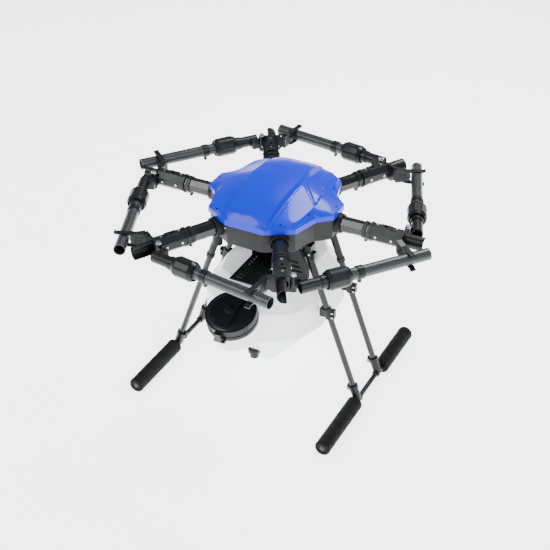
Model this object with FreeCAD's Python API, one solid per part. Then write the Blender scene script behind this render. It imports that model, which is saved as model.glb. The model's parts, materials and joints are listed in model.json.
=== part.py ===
"""Folding six-arm agricultural spray drone airframe with a 10 litre class spray tank.

Frame: millimetres, +Z up, origin on the ground under the hub axis, nose towards -Y.
The arms are drawn folded, because that is how the airframe stands at rest.
Each arm is drawn once along +X and then turned to its own azimuth about the hub axis.
"""
import FreeCAD, Part
import math
import os

from FreeCAD import Vector

os.makedirs("parts", exist_ok=True)

# ---- driving dimensions -------------------------------------------------------
ARM_COUNT = 6
FIRST_ARM_AZIMUTH = 30.0        # from -Y towards +X
ARM_Z = 499.0                   # arm axis above the ground
HINGE_RADIUS = 350.0            # hub axis to fold hinge, along the arm
HINGE_OFFSET = 23.6             # arm axis to fold hinge, sideways
FOLD_ANGLE = 112.0              # straight arm to folded arm
FREE_END = 346.4                # hinge to the open end of the outer tube

INNER_ARM_FLATS = 38.0
INNER_ARM_WALL = 2.5
INNER_ARM_START = 118.0
JOINT_FLATS = 43.0
JOINT_START = 262.0
INNER_ARM_END = 300.0
FLANGE_START = 346.0
FLANGE_END = 354.0
FLANGE_HALF_WIDTH = 31.6
FLANGE_HALF_HEIGHT = 21.5

STUB_RADIUS = 17.8
STUB_BORE = 16.3
STUB_LENGTH = 55.0              # hinge to the stub's open mouth
STUB_CUT = 6.0                  # the trough is open beyond this, on the hinge side
DUCT_RADIUS = 12.5
PLUG_RADIUS = 15.0              # end of the socket that lies in the trough
PLUG_START = 5.5
SLEEVE_RADIUS = 17.3
SLEEVE_START = 56.8
SOCKET_LENGTH = 130.0
TUBE_RADIUS = 15.0
TUBE_WALL = 1.5
TUBE_START = 62.0
NUT_START = 72.0
NUT_LENGTH = 60.0
NUT_RADIUS = 25.5
NUT_BORE = 18.2
RING_CENTRE = 160.0
RING_WIDTH = 15.0
RING_THICKNESS = 2.2
PIN_RADIUS = 4.0
PIN_CLEARANCE = 0.1
EAR_RADIUS = 8.0
LUG_RADIUS = 7.4
LUG_HALF_HEIGHT = 13.4
SLOT_HALF_HEIGHT = 13.8

CLIP_FROM_END = 52.0            # free end of the held tube to the middle of the jaw
CLIP_WIDTH = 14.0
CLIP_WEB = 5.0
JAW_GAP = 15.6                  # half the mouth, held tube radius plus clearance

RIM_BOTTOM = 522.0
RIM_TOP = 537.0
COVER_WALL = 2.5
HUB_FLOOR = 463.0
HUB_WALL = 3.0
HUB_INSET = 4.0
COLLAR_OUTER = 25.0
COLLAR_INNER = 21.5

TRAY_Z = 366.0
TRAY_HALF_WIDTH = 44.0
TRAY_FRONT = -172.0
TRAY_BACK = 70.0
TRAY_THICKNESS = 4.0

TANK_WALL = 3.0
NECK_RADIUS = 60.0
NECK_BORE = 52.0
NECK_TILT = 18.0
LID_RADIUS = 65.5
LID_CENTRE = Vector(0.0, -246.0, 327.0)
LID_SKIRT = 20.0
LID_PLATE = 5.0
LID_BORE = 62.0
NECK_TOP = -15.0                # rim of the neck, measured from the plane of the lid's edge
RING_TOP = -22.0
RING_BOTTOM = -33.0
HINGE_REACH = 6.5               # lid edge to the hinge pin, and to the latch pin
LID_PIN = 2.0
PIN_BORE = 2.1

SKID_X = 275.4
SKID_Z = 21.0
SKID_TUBE_RADIUS = 7.0
SKID_FRONT = -300.0
SKID_BACK = 274.0
FOAM_RADIUS = 21.0
FOAM_SPANS = ((-290.0, -84.0), (84.0, 263.3))
LEG_RADIUS = 8.0
LEG_Y = (-70.0, 62.0)
LEG_SPLAY = 0.361               # sideways run of a leg for each unit of drop
LEG_TOP = 458.0
SLEEVE_Z = 348.0
CLAMP_Z = 272.0

X_AXIS = Vector(1, 0, 0)
Y_AXIS = Vector(0, 1, 0)
Z_AXIS = Vector(0, 0, 1)
HINGE = Vector(HINGE_RADIUS, HINGE_OFFSET, ARM_Z)


# ---- helpers ------------------------------------------------------------------
def rod(radius, start, end):
    """A cylinder between two points."""
    span = end - start
    return Part.makeCylinder(radius, span.Length, start, span)


def tube(outer, inner, start, end):
    """A round tube between two points."""
    return rod(outer, start, end).cut(rod(inner, start, end))


def box(x0, x1, y0, y1, z0, z1):
    """A box from its lowest and highest corner."""
    return Part.makeBox(x1 - x0, y1 - y0, z1 - z0, Vector(x0, y0, z0))


def prism(points, direction):
    """A closed outline pushed along a direction."""
    return Part.Face(Part.makePolygon(points + [points[0]])).extrude(direction)


def octagon_bar(flats, x0, x1):
    """An eight-sided bar along +X on the arm axis, with a flat on top."""
    radius = flats / 2.0 / math.cos(math.pi / 8.0)
    corners = []
    for i in range(8):
        angle = math.pi / 8.0 + i * math.pi / 4.0
        corners.append(Vector(x0, radius * math.cos(angle), ARM_Z + radius * math.sin(angle)))
    return prism(corners, X_AXIS * (x1 - x0))


def hexagon_bar(flats, start, end):
    """A six-sided bar between two points, for bolt heads, nuts and sockets."""
    span = end - start
    direction = Vector(span).normalize()
    side = direction.cross(X_AXIS if abs(direction.x) < 0.9 else Y_AXIS).normalize()
    other = direction.cross(side)
    radius = flats / 2.0 / math.cos(math.pi / 6.0)
    corners = []
    for i in range(6):
        angle = i * math.pi / 3.0
        corners.append(start + side * (radius * math.cos(angle)) + other * (radius * math.sin(angle)))
    return prism(corners, span)


def fused(shapes):
    """One solid from several that touch or overlap."""
    whole = shapes[0].multiFuse(shapes[1:]) if len(shapes) > 1 else shapes[0]
    return whole.removeSplitter()


def export(name, solids):
    """Write one named node, made of one solid or of a few separate ones."""
    shape = solids[0] if len(solids) == 1 else Part.makeCompound(solids)
    shape.exportStep("parts/%s.step" % name)


def to_azimuth(shape, number):
    """Turn a shape drawn along +X to the azimuth of arm 1 to 6."""
    turned = shape.copy()
    azimuth = FIRST_ARM_AZIMUTH + (number - 1) * 360.0 / ARM_COUNT
    turned.rotate(Vector(0, 0, 0), Z_AXIS, azimuth - 90.0)
    return turned


def folded(shape):
    """Turn a shape drawn on the straight arm to the folded position."""
    turned = shape.copy()
    turned.rotate(HINGE, Z_AXIS, FOLD_ANGLE)
    return turned


def on_axis(distance):
    """A point of the straight arm axis, measured outwards from the hinge."""
    return Vector(HINGE_RADIUS + distance, 0.0, ARM_Z)


def disc_screw(centre, outward, radius=3.0, height=2.4):
    """A button-head screw with a hex socket."""
    direction = Vector(outward).normalize()
    head = rod(radius, centre, centre + direction * height)
    socket = hexagon_bar(radius * 0.9, centre + direction * (height * 0.45),
                         centre + direction * (height + 1))
    return head.cut(socket)


# ---- fixed half of an arm -----------------------------------------------------
def inner_arm():
    """Eight-sided tube from the hub to inside the fold joint."""
    outer = octagon_bar(INNER_ARM_FLATS, INNER_ARM_START, INNER_ARM_END)
    inner = octagon_bar(INNER_ARM_FLATS - 2 * INNER_ARM_WALL, INNER_ARM_START - 1, INNER_ARM_END + 1)
    return outer.cut(inner)


def fold_joint():
    """Fixed joint: eight-sided body, hinge flange and a grooved trough, open on the hinge side."""
    body = octagon_bar(JOINT_FLATS, JOINT_START, FLANGE_START)
    collar = octagon_bar(JOINT_FLATS + 3.0, JOINT_START, JOINT_START + 8.0)
    saddle = box(288.0, 318.0, -9.0, 9.0, ARM_Z + JOINT_FLATS / 2 - 2.0, ARM_Z + JOINT_FLATS / 2 + 1.8)
    half_w = FLANGE_HALF_WIDTH
    half_h = FLANGE_HALF_HEIGHT
    bevel = 7.0
    outline = []
    for y, z in ((-half_w, bevel - half_h), (bevel - half_w, -half_h), (half_w, -half_h), (half_w, half_h),
                 (bevel - half_w, half_h), (-half_w, half_h - bevel)):
        outline.append(Vector(FLANGE_START, y, ARM_Z + z))
    flange = prism(outline, X_AXIS * (FLANGE_END - FLANGE_START))
    ears = rod(EAR_RADIUS, HINGE - Z_AXIS * half_h, HINGE + Z_AXIS * half_h)
    stub = rod(STUB_RADIUS, Vector(FLANGE_START, 0, ARM_Z), on_axis(STUB_LENGTH))
    stub = stub.cut(box(FLANGE_END, HINGE_RADIUS + STUB_LENGTH + 1, STUB_CUT, 40, ARM_Z - 30, ARM_Z + 30))
    joint = fused([body, collar, saddle, flange, ears, stub])
    groove_pitch = 5.0
    groove_depth = 0.8
    for i in range(3):
        start = on_axis(9.0 + i * groove_pitch)
        joint = joint.cut(tube(STUB_RADIUS + 2, STUB_RADIUS - groove_depth, start, start + X_AXIS * 2.0))
    pocket = octagon_bar(INNER_ARM_FLATS, JOINT_START - 1, INNER_ARM_END)
    duct = rod(DUCT_RADIUS, Vector(INNER_ARM_END - 1, 0, ARM_Z), Vector(FLANGE_END + 1, 0, ARM_Z))
    duct = duct.fuse(rod(STUB_BORE, Vector(FLANGE_END, 0, ARM_Z), on_axis(STUB_LENGTH + 5)))
    slot = box(FLANGE_START - 6, FLANGE_END + 6, HINGE_OFFSET - EAR_RADIUS - 0.6, half_w + 2,
               ARM_Z - SLOT_HALF_HEIGHT, ARM_Z + SLOT_HALF_HEIGHT)
    window = rod(4.2, Vector(303, 0, ARM_Z), Vector(303, 0, ARM_Z + JOINT_FLATS))
    pin_hole = rod(PIN_RADIUS, HINGE - Z_AXIS * 40, HINGE + Z_AXIS * 40)
    return joint.cut(pocket).cut(duct).cut(slot).cut(window).cut(pin_hole)


def hinge_bolt():
    """Hinge bolt through the two ears and the moving lug, with a washer and a lock nut below."""
    top = HINGE + Z_AXIS * FLANGE_HALF_HEIGHT
    bottom = HINGE - Z_AXIS * FLANGE_HALF_HEIGHT
    shank = rod(PIN_RADIUS, bottom - Z_AXIS * 5.0, top + Z_AXIS * 1.0)
    washer = rod(7.4, top, top + Z_AXIS * 1.0)
    head = hexagon_bar(11.0, top + Z_AXIS * 1.0, top + Z_AXIS * 5.0)
    nut = hexagon_bar(11.0, bottom - Z_AXIS * 4.6, bottom)
    return fused([shank, washer, head, nut])


def joint_screws():
    """Screws that hold one fold joint to its inner arm: two on top and two on each side."""
    screws = []
    top = ARM_Z + JOINT_FLATS / 2
    for x in (281.0, 331.0):
        screws.append(disc_screw(Vector(x, 0, top), Z_AXIS))
    for x in (284.0, 326.0):
        for side in (-1, 1):
            screws.append(disc_screw(Vector(x, side * JOINT_FLATS / 2, ARM_Z), Y_AXIS * side))
    return screws


def hook(centre_x, top_z):
    """Small open hook under a ring, where a hose or a cable clips in."""
    block = box(centre_x - 3.5, centre_x + 3.5, -4.5, 4.5, top_z - 11.0, top_z)
    throat = rod(2.6, Vector(centre_x - 5, 1.2, top_z - 6.0), Vector(centre_x + 5, 1.2, top_z - 6.0))
    gap = box(centre_x - 5, centre_x + 5, 1.2, 6.0, top_z - 8.0, top_z - 4.6)
    return block.cut(throat).cut(gap)


def inner_ring():
    """Eight-sided hose ring on the inner arm."""
    x0 = 246.0
    x1 = 256.0
    band = octagon_bar(INNER_ARM_FLATS + 5.0, x0, x1)
    under = hook((x0 + x1) / 2, ARM_Z - INNER_ARM_FLATS / 2 - 1.0)
    return fused([band, under]).cut(octagon_bar(INNER_ARM_FLATS, x0 - 1, x1 + 1))


# ---- clip that holds the neighbouring folded tube -----------------------------
def clip_frame():
    """Middle of the jaw, the way out of its mouth, and the direction of the held tube."""
    turn = math.radians(FOLD_ANGLE - 360.0 / ARM_COUNT)
    along = Vector(math.cos(turn), math.sin(turn), 0)
    out = Vector(along.y, -along.x, 0)
    step = math.radians(-360.0 / ARM_COUNT)
    foot = Vector(HINGE_RADIUS * math.cos(step) - HINGE_OFFSET * math.sin(step),
                  HINGE_RADIUS * math.sin(step) + HINGE_OFFSET * math.cos(step), ARM_Z)
    middle = foot + out * HINGE_OFFSET + along * (FREE_END - CLIP_FROM_END)
    return middle, out, along


def arm_clip():
    """Springy clip: a root pad on the flange, a pierced web and two leaves around the tube."""
    middle, out, along = clip_frame()
    root = -57.0
    leaf = 3.2
    mouth = JAW_GAP

    def plate(points, width):
        corners = []
        for reach, height in points:
            corners.append(middle + out * reach + Z_AXIS * height - along * (width / 2))
        return prism(corners, along * width)

    upper = plate([(root + 3, 23.2), (-42, 20.5), (-31, mouth + 2.6), (-16, mouth + leaf), (17, mouth + leaf),
                   (22, mouth + 5.6), (23, mouth + 2.8), (17, mouth), (-18, mouth), (-31, mouth - 1.0),
                   (-42, 17.0), (root + 3, 18.0)], CLIP_WIDTH)
    lower = plate([(-30, -mouth - 1), (-18, -mouth), (12, -mouth), (21, -mouth - 4.6), (20, -mouth - 8),
                   (10, -mouth - leaf), (-20, -mouth - leaf), (-34, -mouth - 1)], CLIP_WIDTH)
    web = plate([(root, 20), (-42, 19), (-31, mouth), (-12, mouth + 1), (-18.5, 9), (-mouth - 0.6, 0),
                 (-18.5, -9), (-12, -mouth - 1), (-34, -mouth - 1), (root, -19)], CLIP_WEB)
    pad = box(FLANGE_START, FLANGE_END, -FLANGE_HALF_WIDTH - 8.0, -FLANGE_HALF_WIDTH,
              ARM_Z - 14.0, ARM_Z + 14.0)
    pad_cap = box(FLANGE_START, FLANGE_END + 2.0, -FLANGE_HALF_WIDTH - 8.0, -FLANGE_HALF_WIDTH + 9.0,
                  ARM_Z + FLANGE_HALF_HEIGHT, ARM_Z + FLANGE_HALF_HEIGHT + 2.4)
    rise = box(FLANGE_START, FLANGE_END, -FLANGE_HALF_WIDTH - 8.0, -FLANGE_HALF_WIDTH,
               ARM_Z + 13.0, ARM_Z + FLANGE_HALF_HEIGHT + 2.4)
    clip = fused([upper, lower, web, pad, rise, pad_cap])
    cell = 6.0
    pitch = 8.0
    skin = 0.9
    for row in range(3):
        for column in range(3):
            reach = -48.0 + column * pitch + (row % 2) * pitch / 2
            centre = middle + out * reach + Z_AXIS * ((row - 1) * pitch * 0.87)
            for face in (-1, 1):
                clip = clip.cut(hexagon_bar(cell, centre + along * (face * skin),
                                            centre + along * (face * 8)))
    rib_pitch = 5.0
    for i in range(4):
        centre = middle + out * (-12.0 + i * rib_pitch) + Z_AXIS * (mouth + leaf)
        clip = fused([clip, rod(0.8, centre - along * 5.5, centre + along * 5.5)])
    return clip


# ---- moving half of an arm, drawn straight ------------------------------------
def outer_socket():
    """Swinging socket: plug that lies in the trough, hinge lug and the sleeve around the carbon tube."""
    plug = rod(PLUG_RADIUS, on_axis(PLUG_START), on_axis(SLEEVE_START + 1))
    sleeve = rod(SLEEVE_RADIUS, on_axis(SLEEVE_START), on_axis(SOCKET_LENGTH))
    barrel = rod(LUG_RADIUS, HINGE - Z_AXIS * LUG_HALF_HEIGHT, HINGE + Z_AXIS * LUG_HALF_HEIGHT)
    low = ARM_Z - LUG_HALF_HEIGHT
    high = ARM_Z + LUG_HALF_HEIGHT
    arm = box(HINGE.x, HINGE.x + 28.0, 17.5, HINGE_OFFSET + 4.4, low, high)
    cheek = box(HINGE.x + 13.0, HINGE.x + 28.0, STUB_CUT + 3.0, 18.0, low, high)
    lip = rod(SLEEVE_RADIUS + 0.4, on_axis(SOCKET_LENGTH - 3), on_axis(SOCKET_LENGTH))
    body = fused([plug, sleeve, barrel, arm, cheek, lip])
    mouth_bore = rod(DUCT_RADIUS, on_axis(-5), on_axis(TUBE_START))
    seat = rod(TUBE_RADIUS, on_axis(TUBE_START), on_axis(SOCKET_LENGTH + 5))
    pin_hole = rod(PIN_RADIUS + PIN_CLEARANCE, HINGE - Z_AXIS * 30, HINGE + Z_AXIS * 30)
    return body.cut(mouth_bore).cut(seat).cut(pin_hole)


def outer_arm():
    """Round carbon tube, open at its free end for a motor mount."""
    return tube(TUBE_RADIUS, TUBE_RADIUS - TUBE_WALL, on_axis(TUBE_START), on_axis(FREE_END))


def arm_ring():
    """Round hose ring on the carbon tube."""
    start = on_axis(RING_CENTRE - RING_WIDTH / 2)
    end = on_axis(RING_CENTRE + RING_WIDTH / 2)
    band = rod(TUBE_RADIUS + RING_THICKNESS, start, end)
    under = hook(on_axis(RING_CENTRE).x, ARM_Z - TUBE_RADIUS - 0.5)
    return fused([band, under]).cut(rod(TUBE_RADIUS, start - X_AXIS * 5, end + X_AXIS * 5))


def lock_nut():
    """Barrel-shaped lock sleeve with shallow grip flats; on a straight arm it slides over the trough."""
    start = on_axis(NUT_START)
    taper = 9.0
    small = NUT_RADIUS - 4.0
    nose = Part.makeCone(small, NUT_RADIUS, taper, start, X_AXIS)
    belly = rod(NUT_RADIUS, start + X_AXIS * taper, start + X_AXIS * (NUT_LENGTH - taper))
    tail = Part.makeCone(NUT_RADIUS, small, taper, start + X_AXIS * (NUT_LENGTH - taper), X_AXIS)
    nut = fused([nose, belly, tail])
    flat_count = 8
    flat_depth = 0.9
    for i in range(flat_count):
        shaver = box(start.x + 11, start.x + NUT_LENGTH - 11, -8.5, 8.5,
                     ARM_Z + NUT_RADIUS - flat_depth, ARM_Z + NUT_RADIUS + 5)
        shaver.rotate(start, X_AXIS, i * 360.0 / flat_count)
        nut = nut.cut(shaver)
    mouth_depth = 10.0
    mouth = NUT_BORE + 2.6
    nut = nut.cut(rod(mouth, start - X_AXIS, start + X_AXIS * mouth_depth))
    nut = nut.cut(rod(mouth, start + X_AXIS * (NUT_LENGTH - mouth_depth), start + X_AXIS * (NUT_LENGTH + 1)))
    return nut.cut(rod(NUT_BORE, start - X_AXIS, start + X_AXIS * (NUT_LENGTH + 1)))


# ---- hub ----------------------------------------------------------------------
HUB_QUARTER = ((176.0, 30.0), (142.0, 61.0), (122.0, 131.6), (53.0, 171.6))


def hub_outline(inset, z):
    """Plan of the hub: three arm faces each side, waisted between them, straight at nose and tail."""
    corners = []
    for sign_x, sign_y, order in ((1, 1, 1), (-1, 1, -1), (-1, -1, 1), (1, -1, -1)):
        for x, y in HUB_QUARTER[::order]:
            corners.append(Vector(sign_x * (x - inset), sign_y * (y - inset * (y > 100.0)), z))
    return corners


def hub_shell():
    """Moulded hub tub: upright walls, bevelled floor edge and six arm holes."""
    bevel = 7.0
    floor_line = hub_outline(HUB_INSET + bevel, HUB_FLOOR)
    wall_line = hub_outline(HUB_INSET, HUB_FLOOR + bevel)
    skirt = Part.makeLoft([Part.makePolygon(line + [line[0]]) for line in (floor_line, wall_line)],
                          True, True)
    walls = prism(hub_outline(HUB_INSET, HUB_FLOOR + bevel), Z_AXIS * (RIM_BOTTOM - HUB_FLOOR - bevel))
    tub = fused([skirt, walls])
    cavity = prism(hub_outline(HUB_INSET + bevel, HUB_FLOOR + HUB_WALL), Z_AXIS * 100.0)
    wide = prism(hub_outline(HUB_INSET + HUB_WALL, HUB_FLOOR + bevel + 2.0), Z_AXIS * 100.0)
    tub = tub.cut(cavity).cut(wide)
    for number in range(1, ARM_COUNT + 1):
        hole = rod(COLLAR_OUTER, Vector(150, 0, ARM_Z), Vector(190, 0, ARM_Z))
        tub = tub.cut(to_azimuth(hole, number))
    return tub


def arm_collar():
    """Round collar that closes the hub wall around an inner arm."""
    ring = tube(COLLAR_OUTER, COLLAR_INNER, Vector(166, 0, ARM_Z), Vector(187, 0, ARM_Z))
    lip = rod(COLLAR_OUTER, Vector(160, 0, ARM_Z), Vector(166.5, 0, ARM_Z))
    above_rim = box(150, 200, -40, 40, RIM_BOTTOM - 0.2, RIM_BOTTOM + 20)
    return fused([ring, lip]).cut(octagon_bar(INNER_ARM_FLATS, 150, 190)).cut(above_rim)


def centre_plates():
    """Carbon plates above and below the arm roots, with cut-outs that save weight."""
    plates = []
    for z in (ARM_Z - INNER_ARM_FLATS / 2 - 3.0, ARM_Z + INNER_ARM_FLATS / 2):
        plate = Part.makeCylinder(126.0, 3.0, Vector(0, 0, z))
        plate = plate.cut(Part.makeCylinder(34.0, 5.0, Vector(0, 0, z - 1)))
        for i in range(ARM_COUNT):
            window = Part.makeCylinder(15.0, 5.0, Vector(88, 0, z - 1))
            window.rotate(Vector(0, 0, 0), Z_AXIS, i * 360.0 / ARM_COUNT)
            plate = plate.cut(window)
        plates.append(plate)
    return plates


def power_board():
    """Power distribution board on the upper centre plate."""
    base = ARM_Z + INNER_ARM_FLATS / 2 + 3.0
    board = box(-55.0, 55.0, -40.0, 40.0, base + 6.0, base + 8.0)
    posts = []
    for x in (-48.0, 48.0):
        for y in (-33.0, 33.0):
            posts.append(rod(3.0, Vector(x, y, base), Vector(x, y, base + 6.0)))
    blocks = [box(-40.0 + 26.0 * i, -24.0 + 26.0 * i, -34.0, -20.0, base + 8.0, base + 18.0)
              for i in range(4)]
    return fused([board] + posts + blocks)


def hub_plugs():
    """Round plugs that hang from the hub floor: a long one by the nose, short ones under the side arms."""
    plugs = [rod(12.5, Vector(-106, -118, 424), Vector(-106, -118, HUB_FLOOR))]
    for side in (-1, 1):
        plugs.append(rod(13.0, Vector(side * 148.0, 0, HUB_FLOOR - 9.0), Vector(side * 148.0, 0, HUB_FLOOR)))
    return plugs


def cover_profile(y):
    """Half section of the cover at one station: rim, bevel edge, stripe edge, spine edge, crown."""
    stations = ((0.0, 176.0, 130.0, 556.0, 70.0, 579.0, 63.0, 588.0, 593.0),
                (30.0, 176.0, 129.0, 554.5, 69.0, 577.0, 62.0, 586.5, 591.5),
                (61.0, 142.0, 126.0, 552.5, 67.5, 572.0, 60.5, 584.0, 588.5),
                (110.0, 127.5, 119.0, 548.5, 63.5, 560.5, 58.0, 573.0, 577.0),
                (131.6, 122.0, 108.0, 546.5, 62.0, 554.5, 57.5, 564.0, 567.5),
                (151.0, 88.5, 82.0, 544.5, 60.5, 547.5, 57.0, 554.0, 557.0),
                (171.6, 53.0, 50.0, 537.5, 48.0, 537.6, 46.0, 537.7, 537.8))
    for station in stations:
        if abs(abs(y) - station[0]) < 0.01:
            return station[1:]
    raise ValueError("no cover station at %s" % y)


COVER_STATIONS = (-171.6, -151.0, -131.6, -110.0, -61.0, -30.0, 0.0, 30.0, 61.0, 110.0, 131.6, 151.0, 171.6)


def faceted(quads):
    """A closed solid from flat triangles, two for each four-cornered patch."""
    faces = []
    for quad in quads:
        for corners in ((quad[0], quad[1], quad[2]), (quad[0], quad[2], quad[3])):
            area = (corners[1] - corners[0]).cross(corners[2] - corners[0]).Length
            if area > 1e-3:
                faces.append(Part.Face(Part.makePolygon(list(corners) + [corners[0]])))
    solid = Part.makeSolid(Part.makeShell(faces))
    if solid.Volume < 0:
        solid.reverse()
    return solid


def cover_solid(shrink, bottom):
    """The filled cover, drawn in by a given distance on every side."""
    rows = []
    for y in COVER_STATIONS:
        rim, x1, z1, x2, z2, x3, z3, z4 = cover_profile(y)
        half = [(rim - shrink, bottom), (rim - shrink, RIM_TOP - shrink), (x1 - shrink, z1 - shrink),
                (x2 - shrink, z2 - shrink), (x3 - shrink, z3 - shrink)]
        row = half + [(0.0, z4 - shrink)] + [(-x, z) for x, z in reversed(half)]
        limit = 171.6 - shrink
        rows.append([Vector(x, max(-limit, min(limit, y)), z) for x, z in row])
    quads = []
    for near, far in zip(rows, rows[1:]):
        for i in range(len(near)):
            j = (i + 1) % len(near)
            quads.append((near[i], far[i], far[j], near[j]))
    for row in (rows[0], rows[-1]):
        for i in range(len(row) // 2):
            quads.append((row[i], row[i + 1], row[-2 - i], row[-1 - i]))
    return faceted(quads)


def cover():
    """Thin moulded cover with a raised spine, lower side stripes and an upright rim."""
    return cover_solid(0.0, RIM_BOTTOM).cut(cover_solid(COVER_WALL, RIM_BOTTOM - 5.0))


def battery_tray():
    """Slotted battery tray under the hub, carried by two side rails."""
    plate = box(-TRAY_HALF_WIDTH, TRAY_HALF_WIDTH, TRAY_FRONT, TRAY_BACK, TRAY_Z, TRAY_Z + TRAY_THICKNESS)
    rails = []
    for side in (-1, 1):
        x0 = side * (TRAY_HALF_WIDTH - 1.5) - 1.5
        rails.append(box(x0, x0 + 3.0, -52.0, TRAY_BACK, TRAY_Z + TRAY_THICKNESS, HUB_FLOOR))
    tray = fused([plate] + rails)
    slot_pitch = 13.0
    for i in range(4):
        for side in (-1, 1):
            x = side * 24.0
            y = -160.0 + i * slot_pitch
            tray = tray.cut(box(x - 11, x + 11, y, y + 4.0, TRAY_Z - 1, TRAY_Z + 10))
    for i in range(4):
        for side in (-1, 1):
            x = side * 30.0
            y = -96.0 + i * slot_pitch
            tray = tray.cut(box(x - 2, x + 2, y, y + 9.0, TRAY_Z - 1, TRAY_Z + 10))
    return tray


def louvre_panel():
    """Louvred panel that hangs from the hub floor beside the tray."""
    front = -98.0
    outline = [Vector(50, front, HUB_FLOOR), Vector(112, front, HUB_FLOOR), Vector(138, front, 404),
               Vector(138, front, 374), Vector(50, front, 374)]
    panel = prism(outline, Y_AXIS * 11.0)
    for i in range(3):
        z = 390.0 + i * 13.0
        panel = panel.cut(box(84, 124 - i * 6, front - 1, front + 5, z, z + 4.0))
    return panel


# ---- spray tank ---------------------------------------------------------------
TANK_LEVELS = (
    (78.0, ((28.0, -88.0), (34.0, -78.0), (38.0, -58.0), (38.0, 46.0), (28.0, 58.0))),
    (214.0, ((50.0, -192.0), (132.0, -142.0), (160.0, -62.0), (160.0, 86.0), (118.0, 150.0))),
    (296.0, ((50.0, -190.0), (128.0, -146.0), (154.0, -64.0), (154.0, 86.0), (112.0, 148.0))),
    (358.0, ((44.0, -150.0), (92.0, -124.0), (112.0, -56.0), (112.0, 76.0), (80.0, 124.0))),
)
NECK_AXIS = Vector(0, -math.sin(math.radians(NECK_TILT)), math.cos(math.radians(NECK_TILT)))


def neck_point(distance):
    """A point on the filler neck's axis, measured up from the plane of the lid's edge."""
    return LID_CENTRE + NECK_AXIS * distance


def tank_body(inset):
    """Boat-shaped tank with a blunt front boss under the filler neck."""
    wires = []
    for index, (z, quarter) in enumerate(TANK_LEVELS):
        if index == 0:
            z += inset
        if index == len(TANK_LEVELS) - 1:
            z -= inset
        right = []
        for x, y in quarter:
            right.append(Vector(x - inset, y + (inset if y < 0 else -inset), z))
        left = [Vector(-p.x, p.y, p.z) for p in reversed(right)]
        outline = right + left
        wires.append(Part.makePolygon(outline + [outline[0]]))
    hull = [Part.makeLoft([low, high], True, True) for low, high in zip(wires, wires[1:])]
    boss_depth = 84.0
    boss = rod(NECK_RADIUS - inset, neck_point(RING_BOTTOM - inset), neck_point(-boss_depth + inset))
    bridge_half = 52.0 - inset
    bridge = box(-bridge_half, bridge_half, -236.0, -150.0, 236.0 + inset, 300.0 - inset)
    bow = prism([Vector(-bridge_half, -236.0, 238.0 + inset), Vector(-bridge_half, -180.0, 200.0 + inset),
                 Vector(-bridge_half, -150.0, 200.0 + inset), Vector(-bridge_half, -150.0, 238.0 + inset)],
                X_AXIS * (2 * bridge_half))
    return fused(hull + [boss, bridge, bow])


def tank():
    """Hollow tank with a round neck that the lid closes."""
    neck = rod(NECK_RADIUS - 2.0, neck_point(-60.0), neck_point(NECK_TOP))
    shoulder = rod(NECK_RADIUS, neck_point(-60.0), neck_point(RING_TOP))
    outer = fused([tank_body(0.0), neck, shoulder])
    hollow = tank_body(TANK_WALL)
    mouth = rod(NECK_BORE, neck_point(-50.0), neck_point(10.0))
    return outer.cut(hollow).cut(mouth)


def tank_outlet():
    """Round outlet fitting low on the bow of the tank."""
    flange = rod(17.0, Vector(0, -128, 124), Vector(0, -128, 134))
    nozzle = rod(12.0, Vector(0, -128, 108), Vector(0, -128, 125))
    fitting = fused([flange, nozzle]).cut(rod(8.0, Vector(0, -128, 100), Vector(0, -128, 130)))
    return fitting.cut(tank_body(0.0))


def lid_back():
    """The way from the lid's centre towards its hinge, in the plane of the lid."""
    return Vector(0, NECK_AXIS.z, -NECK_AXIS.y)


def lid_hinge_point():
    """Middle of the lid's hinge, just behind its edge."""
    return neck_point(-8.0) + lid_back() * (LID_RADIUS + HINGE_REACH)


def latch_point():
    """Pivot of the lid latch, just in front of the lid's edge."""
    return neck_point(-30.0) - lid_back() * (LID_RADIUS + HINGE_REACH)


def plate_on_lid(half_width, near, far, low, high):
    """A block set square to the lid, from its centre line and the way to the hinge."""
    across = lid_back()
    corners = []
    for side, reach in ((-1, near), (1, near), (1, far), (-1, far)):
        corners.append(neck_point(low) + X_AXIS * (side * half_width) + across * reach)
    return prism(corners, NECK_AXIS * (high - low))


def tank_lid():
    """Flip lid: skirt, top plate, raised bar across it and a hinge barrel at the back."""
    skirt = rod(LID_RADIUS, neck_point(-LID_SKIRT), neck_point(0.0))
    crown = Part.makeCone(LID_RADIUS - 4.0, LID_RADIUS - 13.0, 4.0, neck_point(0.0), NECK_AXIS)
    bar = plate_on_lid(19.0, -56.0, 56.0, 0.0, 9.0)
    catch = plate_on_lid(11.0, -LID_RADIUS - 5.0, -LID_RADIUS + 6.0, -10.0, -4.0)
    back = lid_hinge_point()
    knuckle = rod(5.0, back - X_AXIS * 16.0, back + X_AXIS * 16.0)
    tongue = plate_on_lid(16.0, LID_RADIUS - 6.0, LID_RADIUS + 6.0, -11.0, -4.0)
    lid = fused([skirt, crown, bar, catch, knuckle, tongue])
    lid = lid.cut(rod(LID_BORE, neck_point(-LID_SKIRT - 1.0), neck_point(-LID_PLATE)))
    notch = plate_on_lid(27.0, 48.0, LID_RADIUS + 0.5, -LID_SKIRT - 1.0, -11.0)
    notch = notch.fuse(plate_on_lid(27.0, 48.0, LID_RADIUS + 0.5, -LID_SKIRT - 1.0, -5.5).cut(
        plate_on_lid(16.0, 40.0, LID_RADIUS + 10.0, -11.0, -4.0)))
    return lid.cut(notch).cut(rod(PIN_BORE, back - X_AXIS * 40.0, back + X_AXIS * 40.0))


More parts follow.
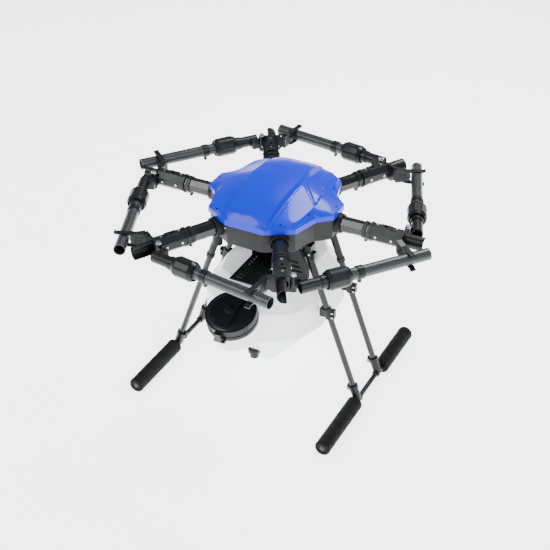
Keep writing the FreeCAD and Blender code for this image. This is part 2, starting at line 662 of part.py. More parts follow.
def neck_ring():
    """Ring clamped under the lid: it carries the lid's hinge ears and the latch's ears."""
    ring = tube(LID_RADIUS + 1.0, NECK_RADIUS, neck_point(RING_BOTTOM), neck_point(RING_TOP))
    back = lid_hinge_point()
    front = latch_point()
    pieces = [ring]
    for side in (-1, 1):
        pieces.append(rod(5.0, back + X_AXIS * (side * 17.0), back + X_AXIS * (side * 24.0)))
        block = plate_on_lid(3.5, LID_RADIUS - 4.0, LID_RADIUS + 11.5, RING_BOTTOM, -8.0)
        block.translate(X_AXIS * (side * 20.5))
        pieces.append(block)
        pieces.append(rod(4.5, front + X_AXIS * (side * 10.0), front + X_AXIS * (side * 15.0)))
        block = plate_on_lid(2.5, -LID_RADIUS - HINGE_REACH, -LID_RADIUS + 4.0, RING_BOTTOM, -25.6)
        block.translate(X_AXIS * (side * 12.5))
        pieces.append(block)
    whole = fused(pieces).cut(rod(NECK_RADIUS, neck_point(RING_BOTTOM - 1.0), neck_point(RING_TOP + 1.0)))
    pins = [rod(LID_PIN, back - X_AXIS * 24.0, back + X_AXIS * 24.0),
            rod(LID_PIN, front - X_AXIS * 15.0, front + X_AXIS * 15.0)]
    return whole.cut(tank_body(0.0)).cut(pins[0]).cut(pins[1]), pins


def lid_latch():
    """Latch: a finger plate that stands in front of the lid's catch and folds down forwards."""
    front = latch_point()
    barrel = rod(4.0, front - X_AXIS * 9.5, front + X_AXIS * 9.5)
    plate = plate_on_lid(9.5, -LID_RADIUS - 12.0, -LID_RADIUS - 8.0, -30.0, 2.0)
    foot = plate_on_lid(9.5, -LID_RADIUS - 10.0, -LID_RADIUS - 6.5, -32.0, -27.0)
    latch = fused([barrel, plate, foot])
    return latch.cut(rod(PIN_BORE, front - X_AXIS * 20.0, front + X_AXIS * 20.0))


# ---- landing gear -------------------------------------------------------------
def leg_point(side, y, z):
    """A point of a leg's axis at a given height."""
    return Vector(side * (SKID_X - LEG_SPLAY * (z - SKID_Z)), y, z)


def each_leg():
    """Side and fore-and-aft place of the four legs."""
    return [(side, y) for side in (-1, 1) for y in LEG_Y]


def leg(side, y):
    """Round carbon leg from its skid tee to the hub floor."""
    return rod(LEG_RADIUS, leg_point(side, y, SKID_Z + 16.0), leg_point(side, y, LEG_TOP))


def leg_bracket(side, y):
    """Hub bracket: a sleeve over the top of a leg with a collar, and a split block with two screws."""
    sleeve = tube(LEG_RADIUS + 1.6, LEG_RADIUS, leg_point(side, y, SLEEVE_Z), leg_point(side, y, LEG_TOP))
    collar = tube(LEG_RADIUS + 3.6, LEG_RADIUS, leg_point(side, y, SLEEVE_Z - 4.0),
                  leg_point(side, y, SLEEVE_Z + 6.0))
    top = leg_point(side, y, 444.0)
    block = box(top.x - 17.0, top.x + 17.0, y - 13.0, y + 13.0, 430.0, HUB_FLOOR)
    ear = box(min(top.x, top.x + side * 24.0), max(top.x, top.x + side * 24.0), y - 8.0, y + 8.0,
              424.0, 442.0)
    bracket = fused([block, ear, sleeve, collar])
    bracket = bracket.cut(rod(LEG_RADIUS, leg_point(side, y, 300.0), leg_point(side, y, LEG_TOP)))
    return bracket


def leg_clamp(side, y):
    """Clamp half way up a leg, with a lug towards the tank and a two-bolt split on the outside."""
    low = leg_point(side, y, CLAMP_Z - 13.0)
    high = leg_point(side, y, CLAMP_Z + 13.0)
    middle = leg_point(side, y, CLAMP_Z)
    sleeve = rod(LEG_RADIUS + 4.0, low, high)
    lug = box(min(middle.x, middle.x - side * 21.0), max(middle.x, middle.x - side * 21.0), y - 9.0, y + 9.0,
              CLAMP_Z - 11.0, CLAMP_Z + 12.0)
    split = box(min(middle.x, middle.x + side * 19.0), max(middle.x, middle.x + side * 19.0),
                y - 6.0, y + 6.0, CLAMP_Z - 12.0, CLAMP_Z + 12.0)
    bolts = []
    for z in (CLAMP_Z - 6.5, CLAMP_Z + 6.5):
        centre = Vector(middle.x + side * 14.5, y, z)
        bolts.append(rod(3.6, centre - Y_AXIS * 10.0, centre + Y_AXIS * 10.0))
    clamp = fused([sleeve, lug, split] + bolts)
    return clamp.cut(rod(LEG_RADIUS, leg_point(side, y, 200.0), leg_point(side, y, 340.0)))


def tee_clamp(side, y):
    """Tee at the foot of a leg: a sleeve around the skid tube and a socket for the leg."""
    centre = Vector(side * SKID_X, y, SKID_Z)
    across = rod(SKID_TUBE_RADIUS + 3.2, centre - Y_AXIS * 13.5, centre + Y_AXIS * 13.5)
    socket = rod(LEG_RADIUS + 3.4, leg_point(side, y, SKID_Z), leg_point(side, y, SKID_Z + 40.0))
    mouth_low = leg_point(side, y, SKID_Z + 34.0)
    mouth_high = leg_point(side, y, SKID_Z + 42.0)
    band = rod(LEG_RADIUS + 5.4, mouth_low, mouth_high)
    tab = box(min(mouth_low.x, mouth_low.x - side * 18.0), max(mouth_low.x, mouth_low.x - side * 18.0),
              y - 5.0, y + 5.0, SKID_Z + 26.0, SKID_Z + 42.0)
    tee = fused([across, socket, band, tab])
    tee = tee.cut(rod(LEG_RADIUS, leg_point(side, y, SKID_Z + 16.0), leg_point(side, y, SKID_Z + 80.0)))
    return tee.cut(rod(SKID_TUBE_RADIUS, centre - Y_AXIS * 30.0, centre + Y_AXIS * 30.0))


def skid_tube(side):
    """Round skid tube along the ground."""
    return rod(SKID_TUBE_RADIUS, Vector(side * SKID_X, SKID_FRONT + 12.0, SKID_Z),
               Vector(side * SKID_X, SKID_BACK - 12.0, SKID_Z))


def foam_sleeve(side, span):
    """Foam sleeve on a skid tube, with rounded ends."""
    start = Vector(side * SKID_X, span[0], SKID_Z)
    end = Vector(side * SKID_X, span[1], SKID_Z)
    foam = rod(FOAM_RADIUS, start, end)
    rims = [edge for edge in foam.Edges if edge.Curve.TypeId == "Part::GeomCircle"]
    foam = foam.makeFillet(3.0, rims)
    return foam.cut(rod(SKID_TUBE_RADIUS, start - Y_AXIS * 5.0, end + Y_AXIS * 5.0))


# ---- write every node ---------------------------------------------------------
def export_arms():
    """The nodes that repeat on each arm, and the groups of small parts on all of them."""
    fixed = {"inner_arm": inner_arm(), "fold_joint": fold_joint()}
    moving = {"outer_socket": folded(outer_socket()), "outer_arm": folded(outer_arm()),
              "lock_nut": folded(lock_nut()), "arm_ring": folded(arm_ring())}
    ring = inner_ring()
    bolt = hinge_bolt()
    screws = joint_screws()
    collar = arm_collar()
    clip = arm_clip()
    numbers = range(1, ARM_COUNT + 1)
    for number in numbers:
        for name, shape in list(fixed.items()) + list(moving.items()):
            export("%s_%d" % (name, number), [to_azimuth(shape, number)])
    export("inner_arm_rings", [to_azimuth(ring, n) for n in numbers])
    export("hinge_bolts", [to_azimuth(bolt, n) for n in numbers])
    export("joint_screws", [to_azimuth(screw, n) for n in numbers for screw in screws])
    export("arm_clips", [to_azimuth(clip, n) for n in numbers])
    export("arm_collars", [to_azimuth(collar, n) for n in numbers])


def export_hub():
    """Hub tub, cover, plates, tray and housing."""
    export("hub_shell", [hub_shell()])
    export("cover", [cover()])
    export("centre_plates", centre_plates())
    export("battery_tray", [battery_tray()])
    export("louvre_panel", [louvre_panel()])
    export("power_board", [power_board()])
    export("hub_plugs", hub_plugs())


def export_tank():
    """Tank, outlet, neck ring with its pins, lid and latch."""
    ring, pins = neck_ring()
    export("tank", [tank()])
    export("tank_outlet", [tank_outlet()])
    export("neck_ring", [ring] + pins)
    export("tank_lid", [tank_lid()])
    export("lid_latch", [lid_latch()])


def export_landing_gear():
    """Legs, brackets, clamps, skid tubes and foam sleeves."""
    legs = each_leg()
    export("legs", [leg(side, y) for side, y in legs])
    export("leg_brackets", [leg_bracket(side, y) for side, y in legs])
    export("leg_clamps", [leg_clamp(side, y) for side, y in legs])
    export("tee_clamps", [tee_clamp(side, y) for side, y in legs])
    export("skid_tubes", [skid_tube(side) for side in (-1, 1)])
    export("foam_sleeves", [foam_sleeve(side, span) for side in (-1, 1) for span in FOAM_SPANS])


export_arms()
export_hub()
export_tank()
export_landing_gear()
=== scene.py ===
"""Looks of the folding six-arm spray drone airframe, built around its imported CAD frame. Metres, +Z up."""

import json
import math

import bmesh
import bpy
from mathutils import Matrix, Vector


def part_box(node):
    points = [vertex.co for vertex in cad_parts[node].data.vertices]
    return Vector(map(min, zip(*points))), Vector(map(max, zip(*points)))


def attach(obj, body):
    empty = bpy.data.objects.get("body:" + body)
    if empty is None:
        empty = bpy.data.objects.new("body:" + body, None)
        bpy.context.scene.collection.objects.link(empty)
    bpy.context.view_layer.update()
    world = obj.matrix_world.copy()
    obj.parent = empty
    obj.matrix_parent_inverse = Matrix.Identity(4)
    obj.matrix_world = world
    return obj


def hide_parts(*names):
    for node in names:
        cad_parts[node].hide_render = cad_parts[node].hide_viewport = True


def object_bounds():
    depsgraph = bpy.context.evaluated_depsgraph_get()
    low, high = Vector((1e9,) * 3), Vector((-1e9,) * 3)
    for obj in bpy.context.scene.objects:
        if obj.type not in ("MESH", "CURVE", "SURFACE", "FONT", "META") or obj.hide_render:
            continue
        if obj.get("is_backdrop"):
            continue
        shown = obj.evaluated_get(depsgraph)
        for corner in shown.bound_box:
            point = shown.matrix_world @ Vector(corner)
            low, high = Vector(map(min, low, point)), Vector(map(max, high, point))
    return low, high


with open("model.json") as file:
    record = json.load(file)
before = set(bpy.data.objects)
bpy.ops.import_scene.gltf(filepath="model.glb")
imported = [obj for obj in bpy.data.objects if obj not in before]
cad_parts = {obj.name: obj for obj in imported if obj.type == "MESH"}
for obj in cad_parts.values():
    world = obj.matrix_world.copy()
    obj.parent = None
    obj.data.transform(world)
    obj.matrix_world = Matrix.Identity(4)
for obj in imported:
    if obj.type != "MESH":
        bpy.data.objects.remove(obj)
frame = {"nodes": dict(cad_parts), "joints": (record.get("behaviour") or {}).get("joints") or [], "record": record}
cad_low, cad_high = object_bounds()
record = frame["record"]
nodes_of = frame["nodes"]
ROOT = "airframe"
MM = 0.001


# ---- materials ----------------------------------------------------------------
def shader(name):
    """A new material with its node tree and its main shader."""
    material = bpy.data.materials.new(name)
    material.use_nodes = True
    tree = material.node_tree
    return material, tree, tree.nodes["Principled BSDF"]


def maths(tree, operation, first, second=None):
    """One arithmetic node; each input is a number or a socket."""
    node = tree.nodes.new("ShaderNodeMath")
    node.operation = operation
    for socket, value in zip(node.inputs, (first, second)):
        if value is None:
            continue
        if isinstance(value, (int, float)):
            socket.default_value = value
        else:
            tree.links.new(value, socket)
    return node.outputs[0]


def noise(tree, scale, detail=3.0, roughness=0.55, distortion=0.0):
    """Noise over the object's own coordinates."""
    coords = tree.nodes.new("ShaderNodeTexCoord")
    node = tree.nodes.new("ShaderNodeTexNoise")
    node.inputs["Scale"].default_value = scale
    node.inputs["Detail"].default_value = detail
    node.inputs["Roughness"].default_value = roughness
    node.inputs["Distortion"].default_value = distortion
    tree.links.new(coords.outputs["Object"], node.inputs["Vector"])
    return node.outputs["Fac"]


def spread(tree, factor, low, high, start=0.3, end=0.7):
    """Maps a factor to a range."""
    node = tree.nodes.new("ShaderNodeMapRange")
    tree.links.new(factor, node.inputs["Value"])
    node.inputs["From Min"].default_value = start
    node.inputs["From Max"].default_value = end
    node.inputs["To Min"].default_value = low
    node.inputs["To Max"].default_value = high
    return node.outputs["Result"]


def two_tone(tree, factor, dark, light):
    """A colour between two, by a factor."""
    node = tree.nodes.new("ShaderNodeMix")
    node.data_type = "RGBA"
    node.inputs["A"].default_value = (*dark, 1)
    node.inputs["B"].default_value = (*light, 1)
    tree.links.new(factor, node.inputs["Factor"])
    return node.outputs["Result"]


def relief(tree, height, distance, edge=0.0):
    """A bump from a height, on top of softly rounded edges."""
    bump = tree.nodes.new("ShaderNodeBump")
    bump.inputs["Strength"].default_value = 1.0
    bump.inputs["Distance"].default_value = distance
    tree.links.new(height, bump.inputs["Height"])
    if edge:
        rounded = tree.nodes.new("ShaderNodeBevel")
        rounded.samples = 6
        rounded.inputs["Radius"].default_value = edge
        tree.links.new(rounded.outputs["Normal"], bump.inputs["Normal"])
    return bump.outputs["Normal"]


def surface(name, colour, rough, vary=0.18, clouds=22.0, grain=700.0, depth=0.00008, edge=0.0006, **constant):
    """A moulded, painted or metal surface: clouded colour, uneven gloss, fine grain and rounded edges."""
    material, tree, bsdf = shader(name)
    cloud = noise(tree, clouds)
    fine = noise(tree, grain, 2.0)
    dark = [c * (1 - vary) for c in colour]
    light = [min(1.0, c * (1 + vary)) for c in colour]
    tree.links.new(two_tone(tree, cloud, dark, light), bsdf.inputs["Base Color"])
    uneven = maths(tree, "ADD", spread(tree, cloud, rough - 0.05, rough + 0.05),
                   spread(tree, fine, -0.03, 0.03))
    tree.links.new(uneven, bsdf.inputs["Roughness"])
    tree.links.new(relief(tree, fine, depth, edge), bsdf.inputs["Normal"])
    for key, value in constant.items():
        bsdf.inputs[key.replace("_", " ")].default_value = value
    return material


def twill(name, origin, along, radius, wraps=48):
    """Twill-woven carbon around a tube: bands of tow that lean along the tube, under clear resin, with the warp
    tows given a painted sheen that makes them lighter than the weft.
    """
    material, tree, bsdf = shader(name)
    coords = tree.nodes.new("ShaderNodeTexCoord")
    local = tree.nodes.new("ShaderNodeVectorMath")
    local.operation = "SUBTRACT"
    local.inputs[1].default_value = origin
    tree.links.new(coords.outputs["Object"], local.inputs[0])
    parts = []
    side = along.cross(Vector((0, 0, 1)))
    for axis in (along, side, Vector((0, 0, 1))):
        dot = tree.nodes.new("ShaderNodeVectorMath")
        dot.operation = "DOT_PRODUCT"
        dot.inputs[1].default_value = axis
        tree.links.new(local.outputs[0], dot.inputs[0])
        parts.append(dot.outputs["Value"])
    tow = 2 * math.pi * radius / wraps
    lengthwise = maths(tree, "DIVIDE", parts[0], tow)
    turn = maths(tree, "ARCTAN2", parts[2], parts[1])
    around = maths(tree, "MULTIPLY", turn, wraps / (2 * math.pi))
    cell = maths(tree, "ADD", maths(tree, "FLOOR", lengthwise), maths(tree, "FLOOR", around))
    warp = maths(tree, "LESS_THAN", maths(tree, "FLOORED_MODULO", cell, 4.0), 2.0)
    weft = maths(tree, "SUBTRACT", 1.0, warp)
    crown_a = maths(tree, "SINE", maths(tree, "MULTIPLY", maths(tree, "FRACT", around), math.pi))
    crown_b = maths(tree, "SINE", maths(tree, "MULTIPLY", maths(tree, "FRACT", lengthwise), math.pi))
    crown = maths(tree, "ADD", maths(tree, "MULTIPLY", crown_a, warp), maths(tree, "MULTIPLY", crown_b, weft))
    fibres = noise(tree, 1400.0, 2.0)
    # Painted sheen: warp and weft are the same black fibre, and the lighter warp colour stands for the light the
    # fibres catch. The weave pattern itself is real.
    tone = maths(tree, "ADD", maths(tree, "MULTIPLY", warp, 0.8), maths(tree, "MULTIPLY", fibres, 0.2))
    tows_painted_sheen = two_tone(tree, tone, (0.003, 0.0033, 0.0036), (0.045, 0.047, 0.05))
    tree.links.new(tows_painted_sheen, bsdf.inputs["Base Color"])
    tree.links.new(spread(tree, tone, 0.46, 0.30, 0.0, 1.0), bsdf.inputs["Roughness"])
    tree.links.new(relief(tree, crown, 0.00012), bsdf.inputs["Normal"])
    bsdf.inputs["Specular IOR Level"].default_value = 0.35
    bsdf.inputs["Coat Weight"].default_value = 0.2
    bsdf.inputs["Coat Roughness"].default_value = 0.14
    return material


def polythene(name):
    """Milky rotomoulded polythene with painted shade, a little greyer low down where less light passes through it,
    and a faint painted glow all over.
    """
    material, tree, bsdf = shader(name)
    coords = tree.nodes.new("ShaderNodeTexCoord")
    apart = tree.nodes.new("ShaderNodeSeparateXYZ")
    tree.links.new(coords.outputs["Object"], apart.inputs[0])
    cloud = noise(tree, 9.0, 4.0)
    # Painted shade: the colour turns greyer towards the bottom of the tank, mixed with some random clouding.
    height = spread(tree, apart.outputs["Z"], 0.0, 0.75, 0.08, 0.26)
    tone = maths(tree, "ADD", height, maths(tree, "MULTIPLY", cloud, 0.25))
    tree.links.new(two_tone(tree, tone, (0.80, 0.82, 0.835), (0.965, 0.975, 0.98)), bsdf.inputs["Base Color"])
    fine = noise(tree, 420.0, 2.0)
    tree.links.new(spread(tree, fine, 0.30, 0.42), bsdf.inputs["Roughness"])
    tree.links.new(relief(tree, fine, 0.00012, 0.006), bsdf.inputs["Normal"])
    bsdf.inputs["Subsurface Weight"].default_value = 0.45
    bsdf.inputs["Subsurface Radius"].default_value = (0.03, 0.03, 0.034)
    bsdf.inputs["Subsurface Scale"].default_value = 0.6
    # Painted glow: a faint white emission makes the tank give off light of its own.
    bsdf.inputs["Emission Color"].default_value = (1.0, 1.0, 1.0, 1.0)
    bsdf.inputs["Emission Strength"].default_value = 0.3
    return material


def foam_skin(name):
    """Closed-cell foam: matt, pitted and slightly uneven."""
    material, tree, bsdf = shader(name)
    coords = tree.nodes.new("ShaderNodeTexCoord")
    cells = tree.nodes.new("ShaderNodeTexVoronoi")
    cells.inputs["Scale"].default_value = 620.0
    tree.links.new(coords.outputs["Object"], cells.inputs["Vector"])
    cloud = noise(tree, 60.0)
    tone = maths(tree, "MULTIPLY", cells.outputs["Distance"], cloud)
    black = two_tone(tree, tone, (0.002, 0.002, 0.0022), (0.009, 0.009, 0.0098))
    tree.links.new(black, bsdf.inputs["Base Color"])
    tree.links.new(spread(tree, cloud, 0.72, 0.9), bsdf.inputs["Roughness"])
    tree.links.new(relief(tree, cells.outputs["Distance"], 0.0003), bsdf.inputs["Normal"])
    bsdf.inputs["Specular IOR Level"].default_value = 0.2
    return material


FINISH = {
    "joint_nylon": surface("joint nylon", (0.007, 0.0073, 0.008), 0.40, Specular_IOR_Level=0.22,
                           Coat_Weight=0.08),
    "arm_tube": surface("arm coating", (0.007, 0.0073, 0.0082), 0.25, edge=0.0009, Specular_IOR_Level=0.25,
                        Coat_Weight=0.35),
    "carbon_plate": surface("carbon plate", (0.010, 0.0105, 0.011), 0.45, Specular_IOR_Level=0.25),
    "leg_carbon": surface("leg tube", (0.007, 0.0073, 0.0082), 0.28, Specular_IOR_Level=0.25,
                          Coat_Weight=0.25),
    "bolt_steel": surface("bolt steel", (0.62, 0.63, 0.65), 0.26, vary=0.08, Metallic=1.0),
    "hub_plastic": surface("hub plastic", (0.009, 0.0093, 0.01), 0.55, depth=0.00016, edge=0.0014,
                           Specular_IOR_Level=0.25),
    "cover_blue": surface("cover blue", (0.0, 0.016, 0.72), 0.30, vary=0.04, clouds=6.0, depth=0.00002,
                          edge=0.0008, Specular_IOR_Level=0.12, Coat_Weight=0.22, Coat_Roughness=0.07),
    "circuit_board": surface("circuit board", (0.02, 0.12, 0.05), 0.45),
    "tank_polythene": polythene("tank polythene"),
    "lid_black": surface("lid black", (0.005, 0.0053, 0.006), 0.38, edge=0.0012, Specular_IOR_Level=0.22,
                         Coat_Weight=0.06),
    "foam_rubber": foam_skin("foam rubber"),
}
# Painted shade: a matt near-black colour for the shaded insides of openings.
PAINTED_SHADE_HOLE = surface("painted shade recess", (0.006, 0.006, 0.007), 0.8)


def arm_line(number):
    """Hinge point and outward direction of a folded outer arm."""
    joints = {j["name"]: j for j in frame["joints"]}
    hinge = Vector(joints["arm_%d_fold" % number]["pos_m"])
    along = Vector(joints["nut_%d_slide" % number]["axis"]).normalized()
    return hinge, along


def paint(obj, material):
    """Gives an object one material."""
    obj.data.materials.clear()
    obj.data.materials.append(material)


for part in record["subparts"]:
    node = nodes_of[part["node"]]
    if part["material_slot"] == "carbon_twill":
        arm_number = int(part["node"].rsplit("_", 1)[1])
        hinge_point, outward = arm_line(arm_number)
        low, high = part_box(part["node"])
        axis_point = (low + high) / 2
        paint(node, twill("carbon twill %d" % arm_number, axis_point, outward, 0.015))
    else:
        paint(node, FINISH[part["material_slot"]])


# ---- building pieces ----------------------------------------------------------
def piece(name, mesh_parts, slot, body=ROOT, smooth=30.0, material=None):
    """A named object from (vertices, faces) lists, riding on a body."""
    mesh = bpy.data.meshes.new(name)
    vertices, faces = [], []
    for points, loops in mesh_parts:
        base = len(vertices)
        vertices.extend(points)
        faces.extend([[base + i for i in loop] for loop in loops])
    mesh.from_pydata([tuple(v) for v in vertices], [], faces)
    work = bmesh.new()
    work.from_mesh(mesh)
    bmesh.ops.recalc_face_normals(work, faces=work.faces)
    for face in work.faces:
        face.smooth = True
    for edge in work.edges:
        if len(edge.link_faces) == 2:
            edge.smooth = edge.calc_face_angle() < math.radians(smooth)
    work.to_mesh(mesh)
    work.free()
    obj = bpy.data.objects.new(name, mesh)
    bpy.context.scene.collection.objects.link(obj)
    paint(obj, material or FINISH[slot])
    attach(obj, body)
    return obj


def frame_about(direction):
    """Two unit vectors square to a direction."""
    forward = Vector(direction).normalized()
    helper = Vector((0, 0, 1)) if abs(forward.z) < 0.9 else Vector((1, 0, 0))
    side = forward.cross(helper).normalized()
    return side, forward.cross(side)


def turned(origin, direction, profile, steps=20):
    """A surface of revolution: profile is (distance along, radius) from one end to the other."""
    forward = Vector(direction).normalized()
    side, other = frame_about(forward)
    points, loops = [], []
    for distance, radius in profile:
        for i in range(steps):
            angle = 2 * math.pi * i / steps
            spoke = side * math.cos(angle) + other * math.sin(angle)
            points.append(Vector(origin) + forward * distance + spoke * radius)
    for ring in range(len(profile) - 1):
        for i in range(steps):
            j = (i + 1) % steps
            loops.append([ring * steps + i, ring * steps + j, (ring + 1) * steps + j, (ring + 1) * steps + i])
    if profile[0][1] > 1e-6:
        loops.append(list(range(steps)))
    if profile[-1][1] > 1e-6:
        loops.append([(len(profile) - 1) * steps + i for i in range(steps)])
    return points, loops


def screw(origin, direction, radius, height):
    """A button-head screw with a six-sided socket."""
    head = [(0.0, radius), (height * 0.45, radius), (height * 0.85, radius * 0.82), (height, radius * 0.55)]
    socket = [(height, radius * 0.5), (height * 0.35, radius * 0.46)]
    return turned(origin, direction, head + socket, 18)


def slab(corners, direction, thickness):
    """A flat plate from its outline and its thickness."""
    push = Vector(direction).normalized() * thickness
    count = len(corners)
    points = [Vector(c) for c in corners] + [Vector(c) + push for c in corners]
    loops = [list(range(count))[::-1], [count + i for i in range(count)]]
    for i in range(count):
        j = (i + 1) % count
        loops.append([i, j, count + j, count + i])
    return points, loops


# ---- blue cover ---------------------------------------------------------------
COVER_ROWS = (  # y, rim x, outer crease x z, stripe edge x z, spine edge x z, crown z
    (0.0, 176.0, 130.0, 556.0, 70.0, 579.0, 63.0, 588.0, 593.0),
    (30.0, 176.0, 129.0, 554.5, 69.0, 577.0, 62.0, 586.5, 591.5),
    (61.0, 142.0, 126.0, 552.5, 67.5, 572.0, 60.5, 584.0, 588.5),
    (110.0, 127.5, 119.0, 548.5, 63.5, 560.5, 58.0, 573.0, 577.0),
    (131.6, 122.0, 108.0, 546.5, 62.0, 554.5, 57.5, 564.0, 567.5),
    (151.0, 88.5, 82.0, 544.5, 60.5, 547.5, 57.0, 554.0, 557.0),
    (171.6, 53.0, 50.0, 537.5, 48.0, 537.6, 46.0, 537.7, 537.8),
)
RIM_LOW, RIM_HIGH = 522.0, 537.0
RAISED = (  # outline in plan, on the right half only, and how far it stands up
    (((71.5, -170.0), (127.0, -140.0), (128.5, -43.0), (73.5, 6.0)), 2.2),
    (((84.0, 10.0), (107.0, 37.0), (121.0, 32.0), (128.0, -36.0)), 3.4),
    (((101.5, 96.0), (107.0, 40.0), (119.0, 35.0), (106.0, 102.0)), 1.4),
    (((73.5, 92.0), (80.5, 86.0), (84.5, 14.0), (75.5, 12.0)), -1.2),
)


def row_slopes(column):
    """Slopes along y for one column of the cover's table, level at the middle."""
    def steepness(first, second):
        return (second[column] - first[column]) / (second[0] - first[0])

    slopes = [0.0]
    for i in range(1, len(COVER_ROWS)):
        before = steepness(COVER_ROWS[i - 1], COVER_ROWS[i])
        if i + 1 < len(COVER_ROWS):
            after = steepness(COVER_ROWS[i], COVER_ROWS[i + 1])
            slopes.append((before + after) / 2)
        else:
            slopes.append(before)
    return slopes


SLOPES = {column: row_slopes(column) for column in range(2, 9)}


def cover_row(y):
    """The cover's half section at any y: straight rims between the corners, smooth curves inside."""
    reach = min(abs(y), COVER_ROWS[-1][0])
    i = max(k for k in range(len(COVER_ROWS) - 1) if COVER_ROWS[k][0] <= reach + 1e-9)
    near, far = COVER_ROWS[i], COVER_ROWS[i + 1]
    span = far[0] - near[0]
    t = (reach - near[0]) / span
    values = [near[1] + (far[1] - near[1]) * t]
    for column in range(2, 9):
        a, b = near[column], far[column]
        first, last = SLOPES[column][i] * span, SLOPES[column][i + 1] * span
        values.append((2 * t**3 - 3 * t**2 + 1) * a + (t**3 - 2 * t**2 + t) * first
                      + (-2 * t**3 + 3 * t**2) * b + (t**3 - t**2) * last)
    return values


def inside_by(x, y, outline):
    """How far a point lies inside an outline with straight sides; less than zero outside."""
    area = sum(ax * by - bx * ay for (ax, ay), (bx, by) in zip(outline, outline[1:] + outline[:1]))
    turn = 1.0 if area > 0 else -1.0
    depth = 1e9
    for (ax, ay), (bx, by) in zip(outline, outline[1:] + outline[:1]):
        length = math.hypot(bx - ax, by - ay)
        depth = min(depth, turn * ((bx - ax) * (y - ay) - (by - ay) * (x - ax)) / length)
    return depth


def panel_height(x, y):
    """Height of the raised and sunk panels at a point of the cover."""
    total = 0.0
    for outline, height in RAISED:
        t = max(0.0, min(1.0, inside_by(x, y, outline) / 2.2 + 0.5))
        total += height * t * t * (3 - 2 * t)
    return total


def cover_stations():
    """Row positions along y, close together and exactly on each corner of the outline."""
    marks = sorted({s * row[0] for row in COVER_ROWS for s in (-1, 1)})
    stations = [marks[0]]
    for a, b in zip(marks, marks[1:]):
        steps = max(2, round((b - a) / 2.1))
        stations += [a + (b - a) * k / steps for k in range(1, steps + 1)]
    return stations


def cover_skin():
    """The whole upper skin with its rim, as rows of points from one lower edge to the other."""
    spans = (14, 30, 4, 16)
    points, loops, width = [], [], None
    for y in cover_stations():
        rim, x1, z1, x2, z2, x3, z3, crown = cover_row(y)
        x1 = min(x1, rim - 1.5)
        x2 = min(x2, x1 - 1.0)
        x3 = min(x3, x2 - 1.0)
        knots = [(rim - 1.2, RIM_HIGH + 0.9), (x1, z1), (x2, z2), (x3, z3), (0.0, crown)]
        half = [(rim, RIM_LOW), (rim, RIM_LOW + 6.0), (rim, RIM_HIGH - 1.0)]
        for (ax, az), (bx, bz), count in zip(knots, knots[1:], spans):
            for k in range(count):
                t = k / count
                swell = 1.6 * math.sin(math.pi * t) if count == 16 else 0.0
                half.append((ax + (bx - ax) * t, az + (bz - az) * t + swell))
        half.append(knots[-1])
        line = half + [(-x, z) for x, z in reversed(half[:-1])]
        width = len(line)
        fade = max(0.0, min(1.0, (COVER_ROWS[-1][0] - abs(y) - 4.0) / 10.0))
        for x, z in line:
            lift = panel_height(x, y) * fade if z > RIM_HIGH + 2.0 else 0.0
            points.append(Vector((x, y, z + lift)) * MM)
    rows = len(points) // width
    for r in range(rows - 1):
        for c in range(width - 1):
            a = r * width + c
            loops.append([a, a + 1, a + 1 + width, a + width])
    for first in (0, (rows - 1) * width):
        end = [points[first + c].copy() for c in range(width)]
        for c in range(2, width - 3):
            lower = [Vector((end[k].x, end[k].y, RIM_LOW * MM)) for k in (c, c + 1)]
            base = len(points)
            points.extend([end[c], end[c + 1], lower[1], lower[0]])
            loops.append([base, base + 1, base + 2, base + 3])
    return points, loops


def make_cover():
    """The cover's skin with its wall thickness, shown in place of the plain CAD cover."""
    skin = piece("cover_skin", [cover_skin()], "cover_blue", smooth=16.0)
    work = bmesh.new()
    work.from_mesh(skin.data)
    bmesh.ops.remove_doubles(work, verts=work.verts, dist=0.00001)
    bmesh.ops.recalc_face_normals(work, faces=work.faces)
    for edge in work.edges:
        edge.smooth = len(edge.link_faces) == 2 and edge.calc_face_angle() < math.radians(16.0)
    work.to_mesh(skin.data)
    work.free()
    wall = skin.modifiers.new("wall", "SOLIDIFY")
    wall.thickness = 0.0022
    wall.offset = -1.0
    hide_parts("cover")


def cover_height(x, y):
    """Height of the cover's surface at a point."""
    rim, x1, z1, x2, z2, x3, z3, crown = cover_row(y)
    knots = [(0.0, crown), (x3, z3), (x2, z2), (x1, z1), (rim, RIM_HIGH)]
    for (ax, az), (bx, bz) in zip(knots, knots[1:]):
        if ax <= abs(x) <= bx:
            return az + (bz - az) * (abs(x) - ax) / (bx - ax) + panel_height(x, y)
    return RIM_HIGH


def cover_screws():
    """Small black screws around the edge of the cover."""
    heads = []
    for x, y in ((88.0, -146.0), (-88.0, -146.0), (166.0, 4.0), (-166.0, 4.0), (88.0, 146.0), (-88.0, 146.0),
                 (128.0, -74.0), (-128.0, -74.0), (128.0, 74.0), (-128.0, 74.0)):
        if abs(x) > cover_row(y)[0] - 4.0:
            x = math.copysign(cover_row(y)[0] - 5.0, x)
        rise_x = (cover_height(x + 1, y) - cover_height(x - 1, y)) / 2
        rise_y = (cover_height(x, y + 1) - cover_height(x, y - 1)) / 2
        foot = Vector((x, y, cover_height(x, y) - 0.6)) * MM
        heads.append(screw(foot, (-rise_x, -rise_y, 1.0), 0.0026, 0.0016))
    piece("cover_screws", heads, "lid_black")


make_cover()
cover_screws()


# ---- foam sleeves -------------------------------------------------------------
SKID_X = 275.4                    # skid tubes: distance from the middle, and height
SKID_Z = 21.0
FOAM_SPANS = ((-290.0, -84.0), (84.0, 263.3))


